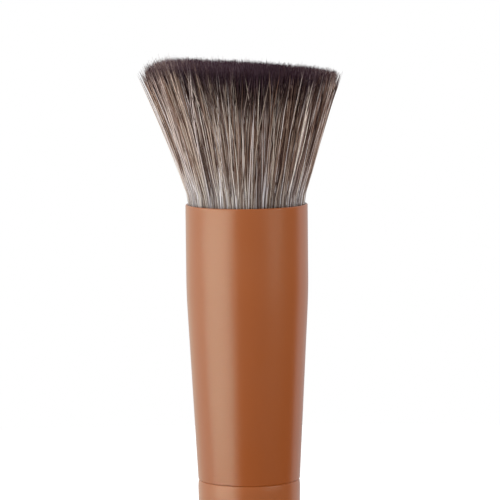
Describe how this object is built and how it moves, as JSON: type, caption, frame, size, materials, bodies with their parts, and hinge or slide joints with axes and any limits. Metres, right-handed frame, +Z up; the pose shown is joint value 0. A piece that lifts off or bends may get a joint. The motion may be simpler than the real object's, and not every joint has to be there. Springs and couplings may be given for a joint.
{
  "type": "foundation brush",
  "caption": "Dense flat-cut foundation brush with a slanted, flared bristle head, a satin terracotta ferrule that tapers to a waisted handle, and a flat base it stands on.",
  "frame": {"origin": "centre of the flat base that the brush stands on, on the axis of the handle and ferrule", "axes": "+Z up along the handle towards the bristles, +X to the right in the picture, where the slanted cut is lower, and -Y towards the viewer"},
  "size_m": [0.0358, 0.0344, 0.146],
  "materials": {
    "base_cap": "satin terracotta moulded plastic",
    "weight_steel": "turned steel",
    "handle_lacquer": "satin terracotta lacquer over moulded plastic",
    "glue": "set epoxy glue",
    "connector_plastic": "dark moulded plastic",
    "ferrule_lacquer": "satin terracotta lacquer over drawn aluminium",
    "cup_aluminium": "plain drawn aluminium",
    "resin": "poured clear resin",
    "thread": "waxed thread",
    "outer_filament": "two-tone nylon filament, pale below and dark brown at the tips",
    "middle_filament": "two-tone nylon filament",
    "core_filament": "dark brown nylon filament"
  },
  "bodies": {
    "root": {"base_cap": "base_cap", "balance_weight": "weight_steel", "handle": "handle_lacquer", "handle_glue": "glue", "connector": "connector_plastic", "ferrule_glue": "glue", "ferrule": "ferrule_lacquer", "bristle_cup": "cup_aluminium", "resin_plug": "resin", "binding_thread": "thread", "outer_bristles": "outer_filament", "middle_bristles": "middle_filament", "core_bristles": "core_filament"}
  },
  "joints": []
}
